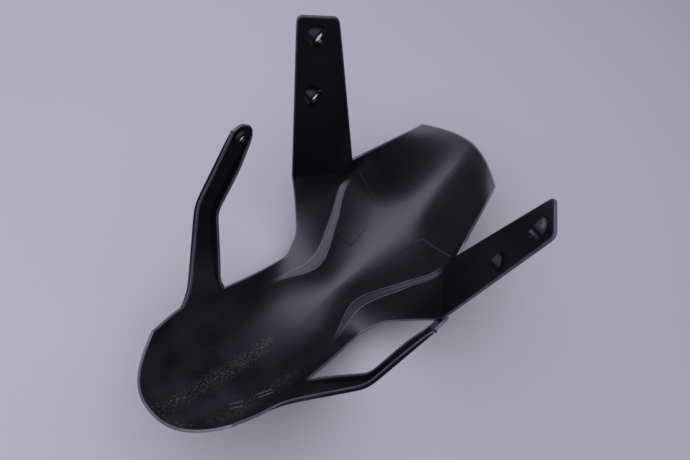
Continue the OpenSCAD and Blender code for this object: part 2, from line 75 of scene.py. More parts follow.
def curve(at: float, knots: list[float], values: list[float]) -> float:
    """Reads a smooth curve through named stations.

    Args:
        at: Place to read, in the knots' own unit.
        knots: Rising places of the stations.
        values: Value at each station.

    Returns:
        The value of the cubic Hermite curve there.
    """
    i = 0
    while i < len(knots) - 2 and at >= knots[i + 1]:
        i += 1

    def slope(k: int) -> float:
        """Returns the slope at station k, from its neighbours."""
        lo, hi = max(0, k - 1), min(len(knots) - 1, k + 1)
        return (values[hi] - values[lo]) / (knots[hi] - knots[lo])

    h = knots[i + 1] - knots[i]
    t = (at - knots[i]) / h
    return ((2 * t**3 - 3 * t**2 + 1) * values[i] + (t**3 - 2 * t**2 + t) * h * slope(i)
            + (3 * t**2 - 2 * t**3) * values[i + 1] + (t**3 - t**2) * h * slope(i + 1))


@dataclass(frozen=True)
class Station:
    """A named place along the shell: wheel angle, half width and trough depth."""

    angle: float
    half_width: float
    depth: float


@dataclass(frozen=True)
class WheelArc:
    """The arc that the whole moulding follows, and how it lies on the floor."""

    crown_r: float = 318.0
    wall: float = 3.0
    lie_pitch: float = 4.8
    front_reach: float = 55.3
    rear_reach: float = -54.4

    @property
    def mid_r(self) -> float:
        """Radius of the middle of the wall at the crown."""
        return self.crown_r + self.wall / 2

    def at(self, station: Station) -> np.ndarray:
        """Returns the point of a station on the middle of the wall."""
        a = math.radians(station.angle)
        r = self.mid_r - station.depth
        return np.array([r * math.sin(a), station.half_width, -r * math.cos(a)])

    def angle_of(self, point: np.ndarray) -> float:
        """Returns the wheel angle of a point, in degrees."""
        return math.degrees(math.atan2(point[0], -point[2]))

    def depth_of(self, point: np.ndarray) -> float:
        """Returns how deep a point lies in the trough."""
        return self.mid_r - math.hypot(point[0], point[2])

    def lay(self, point: np.ndarray) -> Vector:
        """Lays a point down on the floor and turns it to metres."""
        p = math.radians(self.lie_pitch)
        outer = self.crown_r + self.wall
        ends = [math.sin(math.radians(a - self.lie_pitch)) for a in (self.front_reach, self.rear_reach)]
        shift = -sum(ends) / 2 * outer
        x = point[0] * math.cos(p) + point[2] * math.sin(p) + shift
        z = -point[0] * math.sin(p) + point[2] * math.cos(p) + outer
        return Vector((x, point[1], z)) * MM


@dataclass(frozen=True)
class ArmForm:
    """A flat fork arm: the plane it lies in, its outline and its two bosses."""

    fold_x: float = 55.5
    fold_hw: float = 137.0
    fold_drop: float = 226.0
    toe: float = 31.3
    splay: float = 6.9
    length: float = 243.7
    tip_w: float = 44.6
    rake: float = 2.6
    corner_r: float = 6.0
    tip_skew: float = 3.5
    notch_up: float = 20.1
    notch_across: float = 82.7
    fold_sag: float = 5.0
    boss_low: float = 140.0
    boss_pitch: float = 81.0
    boss_inset: float = 21.4
    root_blend: float = 60.0
    rows: tuple[float, ...] = (0.04, 0.12, 0.22, 0.34, 0.46, 0.58, 0.7, 0.82, 0.92, 1.0)
    corner_rows: int = 3

    @property
    def axes(self) -> tuple[np.ndarray, np.ndarray, np.ndarray]:
        """Directions across the arm, along it and square to its outer face."""
        t, s = math.radians(self.toe), math.radians(self.splay)
        across = np.array([math.cos(t), -math.sin(t), 0.0])
        along = np.array([math.sin(t) * math.sin(s), math.cos(t) * math.sin(s), math.cos(s)])
        outward = np.array([math.sin(t) * math.cos(s), math.cos(t) * math.cos(s), -math.sin(s)])
        return across, along, outward

    @property
    def origin(self) -> np.ndarray:
        """The rear end of the fold."""
        return np.array([self.fold_x, self.fold_hw, -self.fold_drop])

    def at(self, across: float, along: float) -> np.ndarray:
        """Returns a point of the arm's plane."""
        u, v, _ = self.axes
        return self.origin + across * u + along * v

    def fold(self, share: float) -> np.ndarray:
        """Returns a point of the fold, straight at first and curving up to the notch."""
        knots = [0, 0.5, 0.8, 0.93, 1]
        rises = [0, -self.fold_sag, -self.fold_sag * 0.6, self.notch_up * 0.3, self.notch_up]
        return self.at(self.notch_across * share, curve(share, knots, rises))

    def side(self, row: int) -> float:
        """Returns how far along the arm a row of points lies."""
        straight = len(self.rows)
        if row < straight:
            return (self.length - self.corner_r) * self.rows[row]
        turn = math.radians(90 / self.corner_rows * (row - straight + 1))
        return self.length - self.corner_r + self.corner_r * math.sin(turn)

    def _cut(self, along: float) -> float:
        """Returns how far the rounded corner takes an edge in."""
        s = max(0.0, along - (self.length - self.corner_r))
        return self.corner_r - math.sqrt(max(0.0, self.corner_r**2 - s**2))

    def rear(self, along: float) -> float:
        """Returns where the rear edge lies across the arm."""
        return -self.rake * along / self.length + self._cut(along)

    def front(self, along: float) -> float:
        """Returns where the front edge lies across the arm."""
        share = (along - self.notch_up) / (self.length - self.notch_up)
        return mix(self.notch_across, self.tip_w - self.rake, share) - self._cut(along)

    def point(self, base: np.ndarray, row: int, share: float) -> np.ndarray:
        """Returns a point of the arm's grid.

        Args:
            base: The point of the fold that its column starts from.
            row: Row of the grid, counted from the fold.
            share: How far across the arm the column lies.

        Returns:
            The point, in millimetres round the wheel.
        """
        u, v, _ = self.axes
        bu, bv = (base - self.origin) @ u, (base - self.origin) @ v
        up = bv + self.side(row) / self.length * (self.length - bv)
        target = mix(self.rear(up), self.front(up), share)
        moved_rear = (self.rear(up) - self.rear(bv)) * (1 - share)
        moved_front = (self.front(up) - self.front(bv)) * share
        skew = self.tip_skew * (0.5 - share) * max(0.0, up / self.length) ** 4
        carried = bu + moved_rear + moved_front
        return self.at(mix(carried, target, min(1.0, (up - bv) / self.root_blend)), up + skew)

    def boss(self, upper: bool) -> np.ndarray:
        """Returns the middle of a boss, on the middle of the wall."""
        along = self.boss_low + (self.boss_pitch if upper else 0.0)
        return self.at(self.rear(along) + self.boss_inset, along)


@dataclass(frozen=True)
class StayForm:
    """A narrow rear stay with a fold on its way, a round tip and two turned edges."""

    bend_rear: tuple[float, float, float] = (-94.2, 135.7, -141.0)
    bend_front: tuple[float, float, float] = (-76.7, 132.3, -169.1)
    hole: tuple[float, float, float] = (-23.2, 143.2, -83.4)
    tip_r: float = 16.2
    root_blend: float = 28.0
    foot_front: float = 0.45
    foot_rear: float = 0.3
    foot_end: float = 0.25
    fade_end: float = 0.3
    bend_len: float = 11.0
    flange_h: float = 7.0
    lip_h: float = 3.4
    turned_least: float = 0.75
    turned_in_rows: int = 4
    turned_out_rows: int = 2
    rows: tuple[float, ...] = (0.04, 0.09, 0.15, 0.22, 0.36, 0.52, 0.68, 0.84,
                               0.93, 1.01, 1.1, 1.22, 1.4, 1.6, 1.8, 2.0)
    tip_turns: tuple[float, ...] = (18.0, 36.0, 54.0, 70.0)

    @property
    def count(self) -> int:
        """Number of rows from the root to the end of the tip."""
        return len(self.rows) + len(self.tip_turns)

    @property
    def tip_axes(self) -> tuple[np.ndarray, np.ndarray]:
        """Directions along and across the stay at its tip."""
        rear, front, hole = np.array(self.bend_rear), np.array(self.bend_front), np.array(self.hole)
        along = unit(hole - (rear + front) / 2)
        width = front - rear
        return along, unit(width - (width @ along) * along)

    def _path(self, foot: np.ndarray, bend: np.ndarray, end: np.ndarray, at: float) -> np.ndarray:
        """Returns a point of one edge, whose fold lies at one and whose end lies at two."""
        lo = 1 - self.bend_len / np.linalg.norm(bend - foot)
        hi = 1 + self.bend_len / np.linalg.norm(end - bend)
        if at <= lo:
            return mix(foot, bend, at)
        if at >= hi:
            return mix(bend, end, at - 1)
        t = (at - lo) / (hi - lo)
        return mix(mix(mix(foot, bend, lo), bend, t), mix(bend, mix(bend, end, hi - 1), t), t)

    def edge(self, roots: tuple[np.ndarray, np.ndarray], row: int, front: bool) -> np.ndarray:
        """Returns the point where a row meets the stay's rear or front edge.

        Args:
            roots: Rear and front end of the root on the shell's edge.
            row: Row of the grid, counted from the root.
            front: Whether the front edge is asked for.

        Returns:
            The point, in millimetres round the wheel.
        """
        along, across = self.tip_axes
        hole = np.array(self.hole)
        way = 1 if front else -1
        if row >= len(self.rows):
            turn = math.radians(self.tip_turns[row - len(self.rows)])
            return hole + self.tip_r * (way * math.cos(turn) * across + math.sin(turn) * along)
        at = self.rows[row]
        inward = unit(roots[1] - roots[0])
        root = roots[1] if front else roots[0]
        reach = -self.foot_front if front else self.foot_rear
        foot = root + inward * self.root_blend * reach
        near = min(1.0, at / self.foot_end)
        bend = np.array(self.bend_front if front else self.bend_rear)
        return self._path(mix(root, foot, near * (2 - near)), bend, hole + way * self.tip_r * across, at)


@dataclass(frozen=True)
class TroughForm:
    """The arched shell: its side edge, its pressed ribs and its section."""

    arc: WheelArc = WheelArc()
    arm: ArmForm = ArmForm()
    tail: Station = Station(-47.5, 66.6, 35.6)
    root_rear: Station = Station(-37.9, 76.8, 46.9)
    root_front: Station = Station(-23.6, 76.7, 47.3)
    waist: Station = Station(-1.5, 73.9, 27.0)
    flank: Station = Station(4.4, 86.5, 42.4)
    nose: Station = Station(51.7, 67.0, 24.0)
    rib_front: Station = Station(26.5, 89.0, 43.0)
    knee: Station = Station(4.0, 35.5, 18.2)
    rib_rear: Station = Station(-9.0, 58.0, 21.5)
    tail_bow: float = 6.9
    nose_bow: float = 3.6
    tail_curl: float = 2.9
    root_curl: float = 2.5
    rear_curl: float = 2.1
    knee_curl: float = 1.6
    front_curl: float = 1.7
    nose_keel: float = 1.4
    front_blend: float = 11.0
    turn_tail: tuple[float, float] = (0.78, 0.49)
    turn_root_rear: tuple[float, float] = (0.77, 0.47)
    turn_root_front: tuple[float, float] = (0.78, 0.5)
    turn_nose: tuple[float, float] = (0.8, 0.68)
    turn_limit: float = 0.93
    rib_w: float = 7.0
    knee_w: float = 14.0
    rib_press: float = 4.0
    facet_share: float = 0.48
    facet_drop: float = 0.2
    fade_rear: float = 3.0
    fade_front: float = 2.0
    seam_w: float = 0.6
    seam_spread: float = 0.35
    steps: tuple[int, int, int, int, int, int] = (6, 8, 7, 10, 9, 12)
    crown_steps: int = 8
    panel_steps: int = 4

    @property
    def marks(self) -> list[int]:
        """Grid rows at the tail, stay root, waist, fold, notch and nose."""
        return [0, *np.cumsum(self.steps).tolist()]

    @property
    def half(self) -> int:
        """Number of grid steps from the crown to the side edge."""
        return self.crown_steps + 1 + self.panel_steps

    def _stations(self, at: float, stations: list[Station]) -> Station:
        """Reads half width and depth of a smooth line through stations."""
        knots = [s.angle for s in stations]
        return Station(at, curve(at, knots, [s.half_width for s in stations]),
                       curve(at, knots, [s.depth for s in stations]))

    def edge(self, row: int) -> np.ndarray:
        """Returns the left side edge at a grid row."""
        _, root, root_end, waist, fold, notch, nose = self.marks
        share = [(row - a) / (b - a) for a, b in zip(self.marks, self.marks[1:])]
        rear = [self.tail, self.root_rear, self.root_front, self.waist]
        if row <= waist:
            part = 0 if row <= root else 1 if row <= root_end else 2
            at = mix(rear[part].angle, rear[part + 1].angle, share[part])
            return self.arc.at(self._stations(at, rear))
        start = self.arm.fold(0)
        corner = Station(self.arc.angle_of(start), start[1], self.arc.depth_of(start))
        if row <= fold:
            near = 0.15
            beside = Station(*(mix(getattr(self.flank, k), getattr(corner, k), near)
                               for k in ("angle", "half_width", "depth")))
            at = mix(self.waist.angle, corner.angle, share[3])
            return self.arc.at(self._stations(at, [self.waist, self.flank, beside, corner]))
        if row <= notch:
            return self.arm.fold(share[4])
        return mix(self.arm.fold(1), self.arc.at(self.nose), share[5])

    def _turn_line(self, at: float) -> Station:
        """Returns the line where crown and side meet, the inner line of the rib."""
        mid = Station((self.knee.angle + self.rib_front.angle) / 2,
                      (self.knee.half_width + self.rib_front.half_width) / 2,
                      (self.knee.depth + self.rib_front.depth) / 2)

        def inside(edge: Station, shares: tuple[float, float]) -> Station:
            """Returns a station at a share of the side edge's width and depth."""
            return Station(edge.angle, edge.half_width * shares[0], edge.depth * shares[1])

        return self._stations(at, [
            inside(self.tail, self.turn_tail), inside(self.root_rear, self.turn_root_rear),
            inside(self.root_front, self.turn_root_front), self.rib_rear, self.knee, mid, self.rib_front,
            inside(self.nose, self.turn_nose)])

    def rib_share(self, at: float) -> float:
        """Returns how far the rib is pressed in at an angle, from none to fully."""
        if at <= self.rib_rear.angle or at >= self.rib_front.angle:
            return 0.0
        return min(1.0, (at - self.rib_rear.angle) / self.fade_rear) * self._end_round(at)

    def _end_round(self, at: float) -> float:
        """Returns the share of its width that the rib keeps towards its round front end."""
        return min(1.0, math.sqrt((self.rib_front.angle - at) / self.fade_front))

    def _rib_width(self, at: float) -> float:
        """Returns the rib's width at an angle."""
        if at <= self.rib_rear.angle or at >= self.rib_front.angle:
            return self.seam_w
        knots = [self.rib_rear.angle, self.knee.angle, (self.knee.angle + self.rib_front.angle) / 2,
                 self.rib_front.angle]
        widths = [self.seam_w, self.knee_w, (self.knee_w + self.rib_w) / 2, self.rib_w]
        return max(self.seam_w, curve(at, knots, widths) * self._end_round(at))

    def section(self, row: int, step: int) -> tuple[float, float]:
        """Returns half width and depth of one point of a half section."""
        edge = self.edge(row)
        at = self.arc.angle_of(edge)
        end = np.array([edge[1], self.arc.depth_of(edge)])
        places = [self.tail, self.root_front, self.rib_rear, self.knee, self.rib_front, self.nose]
        curls = [self.tail_curl, self.root_curl, self.rear_curl, self.knee_curl, self.front_curl,
                 self.nose_keel]
        power = curve(at, [place.angle for place in places], curls)
        width, depth = self._ribbed(at, end, power, step)
        share = max(0.0, min(1.0, (at - self.rib_front.angle) / self.front_blend))
        return width, mix(depth, end[1] * (width / end[0]) ** power, share**2 * (3 - 2 * share))

    def _ribbed(self, at: float, end: np.ndarray, power: float, step: int) -> tuple[float, float]:
        """Returns half width and depth of one point of a half section with its rib."""
        line = self._turn_line(at)
        turn = np.array([min(line.half_width, end[0] * self.turn_limit), line.depth])
        if step <= self.crown_steps:
            share = step / self.crown_steps
            return turn[0] * share, turn[1] * share**power
        rise = turn[1] * power / turn[0]
        width, pressed = self._rib_width(at), self.rib_share(at)
        if at > self.rib_front.angle:
            width = max(width, self.seam_spread * (end[0] - turn[0]))
        flat = pressed * self.facet_share
        drop = self.rib_press * flat * self.facet_drop
        outer = turn + np.array([width, rise * width * (1 - flat) - drop])
        if step == self.half:
            return end[0], end[1]
        run = end - outer
        guide = outer + np.array([run[0], min(rise, run[1] / run[0]) * run[0]]) * 0.5
        t = (step - self.crown_steps - 1) / self.panel_steps
        point = mix(mix(outer, guide, t), mix(guide, end, t), t)
        return point[0], point[1]

    def point(self, row: int, column: int) -> np.ndarray:
        """Returns a point of the shell's grid, column zero being the left edge."""
        width, depth = self.section(row, abs(column - self.half))
        edge = self.edge(row)
        share = width / edge[1]
        root, notch, nose = self.marks[1], self.marks[5], self.marks[6]
        bow = 0.0
        if row < root:
            bow = -self.tail_bow * (1 - row / root) ** 2
        elif row > notch:
            bow = self.nose_bow * ((row - notch) / (nose - notch)) ** 2
        angle = self.arc.angle_of(edge) + bow * (1 - share**2)
        side = 1 if column < self.half else -1
        return self.arc.at(Station(angle, width * side, depth))


class Moulding:
    """The sheet of the part: the shell with its arms, stays and turned edges."""

    rib_crease = 0.75
    fold_crease = 0.85
    rim_round = 0.9
    rim_steps = 3
    rim_turn = 50.0
    rim_reach = 30.0
    rim_marks = 8

    def __init__(self, trough: TroughForm, stay: StayForm) -> None:
        """Starts an empty mesh for the given forms."""
        self.trough = trough
        self.arc = trough.arc
        self.arm = trough.arm
        self.stay = stay
        self.bm = bmesh.new()
        self.crease = self.bm.edges.layers.float.new("crease_edge")
        self.across = self.bm.verts.layers.float.new("rib_across")
        self.pressed = self.bm.verts.layers.float.new("rib_pressed")
        self.shell: dict[tuple[int, int], bmesh.types.BMVert] = {}

    def build(self) -> bpy.types.Object:
        """Builds the sheet, gives it its wall and rounds its rim.

        Returns:
            The moulding, still without its bosses.
        """
        self._grid()
        self._press_ribs()
        for side in Side:
            self._arm(side)
            self._stay(side)
        bmesh.ops.remove_doubles(self.bm, verts=self.bm.verts[:], dist=0.01 * MM)
        bmesh.ops.recalc_face_normals(self.bm, faces=self.bm.faces[:])
        if max(self.bm.faces, key=lambda f: -f.calc_center_median().z).normal.z > 0:
            bmesh.ops.reverse_faces(self.bm, faces=self.bm.faces[:])
        return self._walled(make_object("moulding", self.bm))

    def mark(self, piece: bpy.types.Object) -> None:
        """Stores how far each vertex lies from the rim, in millimetres."""
        layer = piece.data.attributes.new("rim_mm", "FLOAT", "POINT")
        away = [min(self.rim_reach, self.rim.find(v.co)[2] / MM) for v in piece.data.vertices]
        layer.data.foreach_set("value", away)

    def _put(self, point: np.ndarray, side: Side = Side.LEFT) -> Vector:
        """Lays a point of the left half down, mirrored for the right side."""
        return self.arc.lay(np.array([point[0], point[1] * side.value, point[2]]))

    def _grid(self) -> None:
        """Bends a plain grid into the shell."""
        rows, columns = self.trough.marks[-1], 2 * self.trough.half
        made = bmesh.ops.create_grid(self.bm, x_segments=rows, y_segments=columns, size=1.0)
        for vert in made["verts"]:
            row = round((vert.co.x + 1) / 2 * rows)
            column = round((1 - vert.co.y) / 2 * columns)
            self.shell[row, column] = vert
        for (row, column), vert in self.shell.items():
            vert.co = self._put(self.trough.point(row, column))
            vert[self.across] = abs(column - self.trough.half) - self.trough.crown_steps
            vert[self.pressed] = self.trough.rib_share(self.arc.angle_of(self.trough.edge(row)))

    def _press_ribs(self) -> None:
        """Sharpens the two lines of each rib and the keel that runs out at the nose."""
        *_, notch, nose = self.trough.marks
        keel = self.trough.half
        for row in range(notch, nose):
            edge = self.bm.edges.get((self.shell[row, keel], self.shell[row + 1, keel]))
            edge[self.crease] = (row + 1 - notch) / (nose - notch)
        for row in range(self.trough.marks[-1]):
            at = self.arc.angle_of(self.trough.edge(row))
            sharp = self.rib_crease if self.trough.rib_rear.angle < at < self.trough.rib_front.angle else 0.0
            for line in (self.trough.crown_steps, self.trough.crown_steps + 1):
                for column in (self.trough.half - line, self.trough.half + line):
                    edge = self.bm.edges.get((self.shell[row, column], self.shell[row + 1, column]))
                    edge[self.crease] = sharp

    def _extend(self, chain: list[bmesh.types.BMVert], points: list[Vector], crease: float = 0.0
                ) -> list[bmesh.types.BMVert]:
        """Extrudes a chain of edges to new places.

        Args:
            chain: Vertices of the chain, in order.
            points: Place of each new vertex.
            crease: How sharp the chain itself becomes.

        Returns:
            The new vertices, in the chain's order.
        """
        edges = [self.bm.edges.get(pair) for pair in zip(chain, chain[1:])]
        for edge in edges:
            edge[self.crease] = crease
        made = bmesh.ops.extrude_edge_only(self.bm, edges=edges)["geom"]
        fresh = {v.co.to_tuple(6): v for v in made if isinstance(v, bmesh.types.BMVert)}
        row = [fresh[v.co.to_tuple(6)] for v in chain]
        for vert, point in zip(row, points):
            vert.co = point
        for edge in (e for v in row for e in v.link_edges):
            edge[self.crease] = 0.0 if edge not in edges else crease
        return row

    def _border(self, start: int, end: int, side: Side) -> list[bmesh.types.BMVert]:
        """Returns the shell's edge vertices of a side between two grid rows."""
        column = 0 if side is Side.LEFT else 2 * self.trough.half
        return [self.shell[row, column] for row in range(start, end + 1)]

    def _arm(self, side: Side) -> None:
        """Raises a fork arm from the fold."""
        start, end = self.trough.marks[4], self.trough.marks[5]
        chain = self._border(start, end, side)
        bases = [self.trough.edge(row) for row in range(start, end + 1)]
        for row in range(len(self.arm.rows) + self.arm.corner_rows):
            points = [self._put(self.arm.point(base, row, c / (end - start)), side)
                      for c, base in enumerate(bases)]
            chain = self._extend(chain, points, self.fold_crease if row == 0 else 0.0)

    def _stay(self, side: Side) -> None:
        """Draws a stay out of the shell's edge and turns its two edges in."""
        start, end = self.trough.marks[1], self.trough.marks[2]
        chain = self._border(start, end, side)
        bases = [self.trough.edge(row) for row in range(start, end + 1)]
        roots = (bases[0], bases[-1])
        grid, verts = [bases], [chain]
        for row in range(self.stay.count):
            rear = self.stay.edge(roots, row, False)
            front = self.stay.edge(roots, row, True)
            at = self.stay.rows[row] if row < len(self.stay.rows) else 1.0
            fade = (1 - min(1.0, at / self.stay.fade_end)) ** 2
            shares = [c / (end - start) for c in range(end - start + 1)]
            grid.append([mix(rear, front, t) + (base - mix(*roots, t)) * fade
                         for t, base in zip(shares, bases)])
            chain = self._extend(chain, [self._put(p, side) for p in grid[-1]])
            verts.append(chain)
        self._turn_in(grid, verts, side, -1, self.stay.flange_h)
        self._turn_in(grid, verts, side, 0, self.stay.lip_h)

    def _turn_in(self, grid: list[list[np.ndarray]], verts: list[list[bmesh.types.BMVert]], side: Side,
                 column: int, height: float) -> None:
        """Turns one edge of a stay inward, fading out at both ends.

        Args:
            grid: The stay's points, row by row.
            verts: The vertices at those points.
            side: Side of the part.
            column: Grid column of the edge.
            height: Full height of the turned edge.
        """
        last = len(self.stay.rows)
        low = self.arc.wall * self.stay.turned_least
        points = []
        for row in range(last + 2):
            rise = min(1.0, (row - 1) / self.stay.turned_in_rows, (last - row) / self.stay.turned_out_rows)
            tall = 0.0 if row in (0, last + 1) else mix(low, height, max(0.0, rise))
            lo, hi = max(0, row - 1), min(len(grid) - 1, row + 1)
            along = grid[hi][column] - grid[lo][column]
            normal = unit(np.cross(along, grid[row][-1] - grid[row][0]))
            normal = -normal if normal[1] < 0 else normal
            points.append(self._put(grid[row][column] - normal * tall, side))
        self._extend([row[column] for row in verts[:last + 2]], points, self.fold_crease)

    def _walled(self, piece: bpy.types.Object) -> bpy.types.Object:
        """Smooths the sheet, sets it on the floor, gives it its wall and rounds the rim."""
        smooth = piece.modifiers.new("smooth", "SUBSURF")
        smooth.levels = smooth.render_levels = 2
        smooth.boundary_smooth = "PRESERVE_CORNERS"
        settle(piece)
        low = min(v.co.z for v in piece.data.vertices) - self.arc.wall / 2 * MM
        piece.data.transform(Matrix.Translation((0, 0, -low)))
        rim = KDTree(self.rim_marks * len(piece.data.vertices))
        counts: dict[tuple[int, int], int] = {}
        for polygon in piece.data.polygons:
            for key in polygon.edge_keys:
                counts[key] = counts.get(key, 0) + 1
        for a, b in (key for key, count in counts.items() if count == 1):
            for share in np.arange(0, 1, 1 / self.rim_marks):
                rim.insert(mix(piece.data.vertices[a].co, piece.data.vertices[b].co, float(share)), a)
        rim.balance()
        wall = piece.modifiers.new("wall", "SOLIDIFY")
        wall.thickness = self.arc.wall * MM
        wall.offset = 0.0
        wall.use_even_offset = True
        rounding = piece.modifiers.new("rounding", "BEVEL")
        rounding.width = self.rim_round * MM
        rounding.segments = self.rim_steps
        rounding.limit_method = "ANGLE"
        rounding.angle_limit = math.radians(self.rim_turn)
        settle(piece)
        self.rim = rim
        return piece


@dataclass(frozen=True)
class BossForm:
    """A hollow boss: a drafted tube with a seat, a bore and a pocket behind it."""

    outer_d: float
    bore_d: float
    pocket_d: float
    stand: float
    seat: float = 4.0
    draft: float = 0.025
    edge: float = 0.7
    reach: float = 40.0
    mouth_w: float = 2.6
    mouth_depth: float = 0.6
    ahead: float = 2.0
    beyond: float = 5.0

    def solid(self) -> bmesh.types.BMesh:
        """Returns the boss round the Z axis, its seat's face at zero."""
        r = self.outer_d / 2
        return spun([(0, 0), (r - self.edge, 0), (r - self.edge * 0.3, self.edge * 0.3), (r, self.edge),
                     (r + self.draft * self.reach, self.reach), (0, self.reach)])

    def hollow(self) -> bmesh.types.BMesh:
        """Returns what is taken out of it, round the Z axis."""
        bore, pocket, far = self.bore_d / 2, self.pocket_d / 2, self.reach + self.beyond
        return spun([(0, -self.ahead), (bore + self.mouth_w, -self.ahead), (bore, self.mouth_depth),
                     (bore, self.seat), (pocket, self.seat), (pocket, far), (0, far)])


def spun(profile: list[tuple[float, float]], steps: int = 64) -> bmesh.types.BMesh:
    """Spins a profile of radii and heights round the Z axis.

    Args:
        profile: Radius and height of each corner, in millimetres.
        steps: Number of steps of the turn.

    Returns:
        The closed solid, in metres.
    """
    bm = bmesh.new()
    verts = [bm.verts.new((r * MM, 0, h * MM)) for r, h in profile]
    edges = [bm.edges.new(pair) for pair in zip(verts, verts[1:])]
    bmesh.ops.spin(bm, geom=verts + edges, cent=(0, 0, 0), axis=(0, 0, 1), angle=math.tau, steps=steps,
                   use_merge=True)
    bmesh.ops.remove_doubles(bm, verts=bm.verts[:], dist=0.002 * MM)
    bmesh.ops.recalc_face_normals(bm, faces=bm.faces[:])
    return bm


def make_object(name: str, bm: bmesh.types.BMesh) -> bpy.types.Object:
    """Turns a bmesh into an object of the scene."""
    mesh = bpy.data.meshes.new(name)
    bm.to_mesh(mesh)
    bm.free()
    piece = bpy.data.objects.new(name, mesh)
    bpy.context.scene.collection.objects.link(piece)
    return piece


def settle(piece: bpy.types.Object) -> None:
    """Applies every modifier of a piece to its mesh."""
    graph = bpy.context.evaluated_depsgraph_get()
    done = bpy.data.meshes.new_from_object(piece.evaluated_get(graph))
    piece.modifiers.clear()
    old, piece.data = piece.data, done
    bpy.data.meshes.remove(old)


@dataclass
class Bosses:
    """The six bosses: two on each arm and one on each stay's tip."""

    trough: TroughForm
    stay: StayForm
    arm_d: float = 22.0
    arm_bore: float = 12.0
    arm_pocket: float = 16.5
    arm_stand: float = 0.94
    stay_d: float = 20.0
    stay_bore: float = 10.0
    stay_pocket: float = 14.0
    stay_stand: float = 5.0

    def __post_init__(self) -> None:
        """Sets out the bosses on the given forms."""
        arm = self.trough.arm
        stand = self.arm_d / 2 * math.tan(math.radians(arm.toe)) * self.arm_stand
        on_arm = BossForm(outer_d=self.arm_d, bore_d=self.arm_bore, pocket_d=self.arm_pocket, stand=stand)
        on_stay = BossForm(outer_d=self.stay_d, bore_d=self.stay_bore, pocket_d=self.stay_pocket,
                           stand=self.stay_stand)
        self.arc = self.trough.arc
        arm_out = arm.axes[2]
        tip_along, tip_across = self.stay.tip_axes
        tip_out = unit(np.cross(tip_along, tip_across))
        tip_out = -tip_out if tip_out[1] < 0 else tip_out
        self.places = [(on_arm, arm.boss(False), arm_out), (on_arm, arm.boss(True), arm_out),
                       (on_stay, np.array(self.stay.hole), tip_out)]

    def _laid(self, point: np.ndarray, side: Side) -> Vector:
        """Lays a point of the left half down, mirrored for the right side."""
        return self.arc.lay(point * np.array([1, side.value, 1]))

    def _gather(self, hollow: bool) -> bpy.types.Object:
        """Makes all bosses, or all that is taken out of them, as one object."""
        total = bmesh.new()
        for side in Side:
            for form, middle, outward in self.places:
                bm = form.hollow() if hollow else form.solid()
                start = middle - np.array([0, form.stand, 0])
                turn = Matrix.Rotation(math.radians(-90 * side.value), 4, "X")
                place = Matrix.Translation(self._laid(start, side)) @ turn
                bmesh.ops.transform(bm, matrix=place, verts=bm.verts[:])
                if not hollow:
                    self._trim(bm, middle, outward, side)
                mesh = bpy.data.meshes.new("part")
                bm.to_mesh(mesh)
                bm.free()
                total.from_mesh(mesh)
                bpy.data.meshes.remove(mesh)
        return make_object("hollows" if hollow else "bosses", total)

    def _trim(self, bm: bmesh.types.BMesh, middle: np.ndarray, outward: np.ndarray, side: Side) -> None:
        """Cuts a boss off in the middle of the wall that carries it."""
        origin = self._laid(middle, side)
        direction = (self._laid(middle + outward, side) - origin).normalized()
        cut = bmesh.ops.bisect_plane(bm, geom=bm.verts[:] + bm.edges[:] + bm.faces[:], dist=0.001 * MM,
                                     plane_co=origin, plane_no=direction, clear_outer=True)
        loop = [e for e in cut["geom_cut"] if isinstance(e, bmesh.types.BMEdge)]
        bmesh.ops.holes_fill(bm, edges=loop, sides=0)
        bmesh.ops.recalc_face_normals(bm, faces=bm.faces[:])

    def fit(self, piece: bpy.types.Object) -> None:
        """Joins the bosses to the moulding and opens their bores and pockets."""
        for hollow, operation in ((False, "UNION"), (True, "DIFFERENCE")):
            tool = self._gather(hollow)
            step = piece.modifiers.new(operation.lower(), "BOOLEAN")
            step.operation = operation
            step.solver = "EXACT"
            step.object = tool
            settle(piece)
            bpy.data.objects.remove(tool)


def srgb(code: str, alpha: float = 1.0) -> tuple[float, float, float, float]:
    """Turns an sRGB hex value to linear colour."""
    parts = [int(code[i:i + 2], 16) / 255 for i in (1, 3, 5)]
    linear = [c / 12.92 if c <= 0.04045 else ((c + 0.055) / 1.055) ** 2.4 for c in parts]
    return (*linear, alpha)


def add(tree: bpy.types.NodeTree, kind: str, settings: dict | None = None, links: dict | None = None,
        out: str | int = 0) -> bpy.types.NodeSocket | None:
    """Adds a shader node with its settings and links.

    Args:
        tree: Node tree to add to.
        kind: Kind of the node.
        settings: Attribute values by name, and input values by socket name or number.
        links: Output sockets to link from, by input socket name or number.
        out: Name or number of the output that is wanted.

    Returns:
        That output, or none for a node without outputs.
    """
    node = tree.nodes.new("ShaderNode" + kind)
    for name, value in (settings or {}).items():
        if isinstance(name, str) and hasattr(node, name):
            setattr(node, name, value)
        else:
            node.inputs[name].default_value = value
    for name, socket in (links or {}).items():
        tree.links.new(socket, node.inputs[name])
    return node.outputs[out] if node.outputs else None


@dataclass(frozen=True)
class Mark:
    """A straight mark on the inside: its two ends seen from above, in millimetres.

    A pale share of zero makes it a dull cut instead of a pale scratch.
    """

    start: tuple[float, float]
    end: tuple[float, float]
    pale: float = 0.5
    width: float = 1.0


